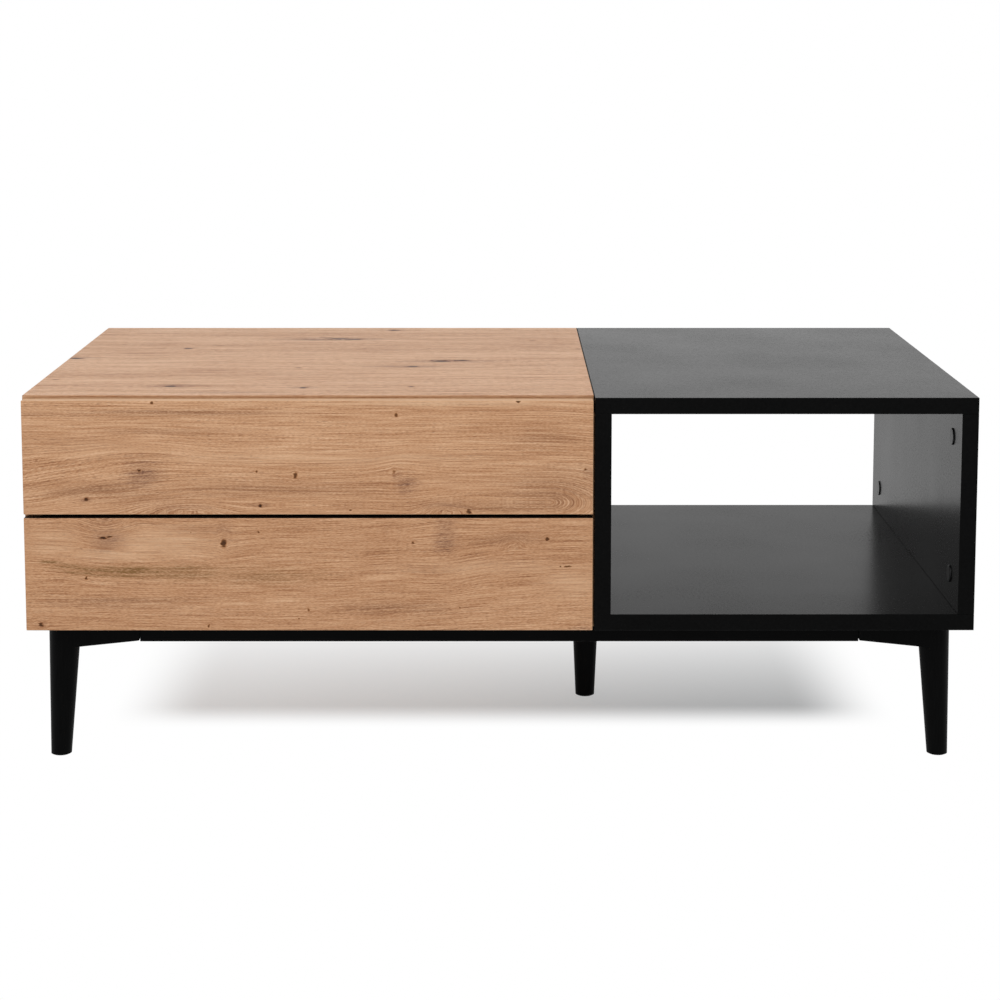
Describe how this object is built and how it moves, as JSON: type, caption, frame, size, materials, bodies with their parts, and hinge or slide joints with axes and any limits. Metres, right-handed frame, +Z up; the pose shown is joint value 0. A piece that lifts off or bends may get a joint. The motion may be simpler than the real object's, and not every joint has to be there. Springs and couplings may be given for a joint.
{
  "type": "coffee table",
  "caption": "Low coffee table: an oak cabinet with push-to-open drawers joined to an open black cube, on tapering black legs with wedge-shaped wings.",
  "frame": {"origin": "on the floor under the middle of the table top", "axes": "+X to the right seen from the front, +Y to the back, +Z up"},
  "size_m": [1.1, 0.6, 0.43],
  "materials": {
    "oak": "knotty oak decor with the grain along the table's width, matt",
    "black_lacquer": "black lacquered board, satin",
    "black_leg": "black lacquered hardwood, matt",
    "drawer_board": "light melamine board, matt",
    "beech": "fluted beech dowel, raw",
    "black_plastic": "moulded, fine grain",
    "grey_plastic": "moulded, smooth",
    "black_steel": "black powder coat",
    "zinc_steel": "bright zinc plate"
  },
  "bodies": {
    "table": {"base_screws": "zinc_steel", "cabinet_back": "oak", "cabinet_bottom": "oak", "cabinet_left_side": "oak", "cabinet_right_side": "oak", "cabinet_screws": "zinc_steel", "cabinet_top": "oak", "cam_bolts": "zinc_steel", "cam_locks": "zinc_steel", "centre_leg": "black_leg", "centre_leg_plate": "black_steel", "cover_caps": "black_plastic", "cube_bottom": "black_lacquer", "cube_left_side": "black_lacquer", "cube_right_side": "black_lacquer", "cube_top": "black_lacquer", "dowels": "beech", "foot_glides": "black_plastic", "front_rail": "black_leg", "leg_front_left": "black_leg", "leg_front_right": "black_leg", "leg_rear_left": "black_leg", "leg_rear_right": "black_leg", "lower_latch_body": "black_plastic", "rear_rail": "black_leg", "runner_cabinet_lower_left": "zinc_steel", "runner_cabinet_lower_right": "zinc_steel", "runner_cabinet_upper_left": "zinc_steel", "runner_cabinet_upper_right": "zinc_steel", "sleeve_bolts": "zinc_steel", "sleeve_nuts": "zinc_steel", "upper_latch_body": "black_plastic"},
    "upper_drawer": {"runner_drawer_upper_left": "zinc_steel", "runner_drawer_upper_right": "zinc_steel", "upper_drawer_back": "drawer_board", "upper_drawer_bottom": "drawer_board", "upper_drawer_cam_bolts": "zinc_steel", "upper_drawer_cam_locks": "zinc_steel", "upper_drawer_front": "oak", "upper_drawer_left_side": "drawer_board", "upper_drawer_right_side": "drawer_board", "upper_drawer_screws": "zinc_steel", "upper_drawer_striker": "zinc_steel"},
    "upper_left_middle_member": {"runner_middle_upper_left": "zinc_steel"},
    "upper_right_middle_member": {"runner_middle_upper_right": "zinc_steel"},
    "upper_plunger": {"upper_latch_plunger": "grey_plastic"},
    "lower_drawer": {"lower_drawer_back": "drawer_board", "lower_drawer_bottom": "drawer_board", "lower_drawer_cam_bolts": "zinc_steel", "lower_drawer_cam_locks": "zinc_steel", "lower_drawer_front": "oak", "lower_drawer_left_side": "drawer_board", "lower_drawer_right_side": "drawer_board", "lower_drawer_screws": "zinc_steel", "lower_drawer_striker": "zinc_steel", "runner_drawer_lower_left": "zinc_steel", "runner_drawer_lower_right": "zinc_steel"},
    "lower_left_middle_member": {"runner_middle_lower_left": "zinc_steel"},
    "lower_right_middle_member": {"runner_middle_lower_right": "zinc_steel"},
    "lower_plunger": {"lower_latch_plunger": "grey_plastic"}
  },
  "joints": [
    {"name": "upper_drawer_slide", "type": "slide", "parent": "table", "child": "upper_drawer", "axis": [0, -1, 0], "range_m": [0, 0.5]},
    {"name": "upper_left_middle_member_slide", "type": "slide", "parent": "table", "child": "upper_left_middle_member", "axis": [0, -1, 0], "range_m": [0, 0.25]},
    {"name": "upper_right_middle_member_slide", "type": "slide", "parent": "table", "child": "upper_right_middle_member", "axis": [0, -1, 0], "range_m": [0, 0.25]},
    {"name": "upper_plunger_slide", "type": "slide", "parent": "table", "child": "upper_plunger", "axis": [0, -1, 0], "range_m": [0, 0.037]},
    {"name": "lower_drawer_slide", "type": "slide", "parent": "table", "child": "lower_drawer", "axis": [0, -1, 0], "range_m": [0, 0.5]},
    {"name": "lower_left_middle_member_slide", "type": "slide", "parent": "table", "child": "lower_left_middle_member", "axis": [0, -1, 0], "range_m": [0, 0.25]},
    {"name": "lower_right_middle_member_slide", "type": "slide", "parent": "table", "child": "lower_right_middle_member", "axis": [0, -1, 0], "range_m": [0, 0.25]},
    {"name": "lower_plunger_slide", "type": "slide", "parent": "table", "child": "lower_plunger", "axis": [0, -1, 0], "range_m": [0, 0.037]}
  ],
  "couplings": [
    {"joint": "upper_left_middle_member_slide", "follows": "upper_drawer_slide", "ratio": 0.5},
    {"joint": "upper_right_middle_member_slide", "follows": "upper_drawer_slide", "ratio": 0.5},
    {"joint": "upper_plunger_slide", "follows": "upper_drawer_slide", "ratio": 0.074},
    {"joint": "lower_left_middle_member_slide", "follows": "lower_drawer_slide", "ratio": 0.5},
    {"joint": "lower_right_middle_member_slide", "follows": "lower_drawer_slide", "ratio": 0.5},
    {"joint": "lower_plunger_slide", "follows": "lower_drawer_slide", "ratio": 0.074}
  ]
}
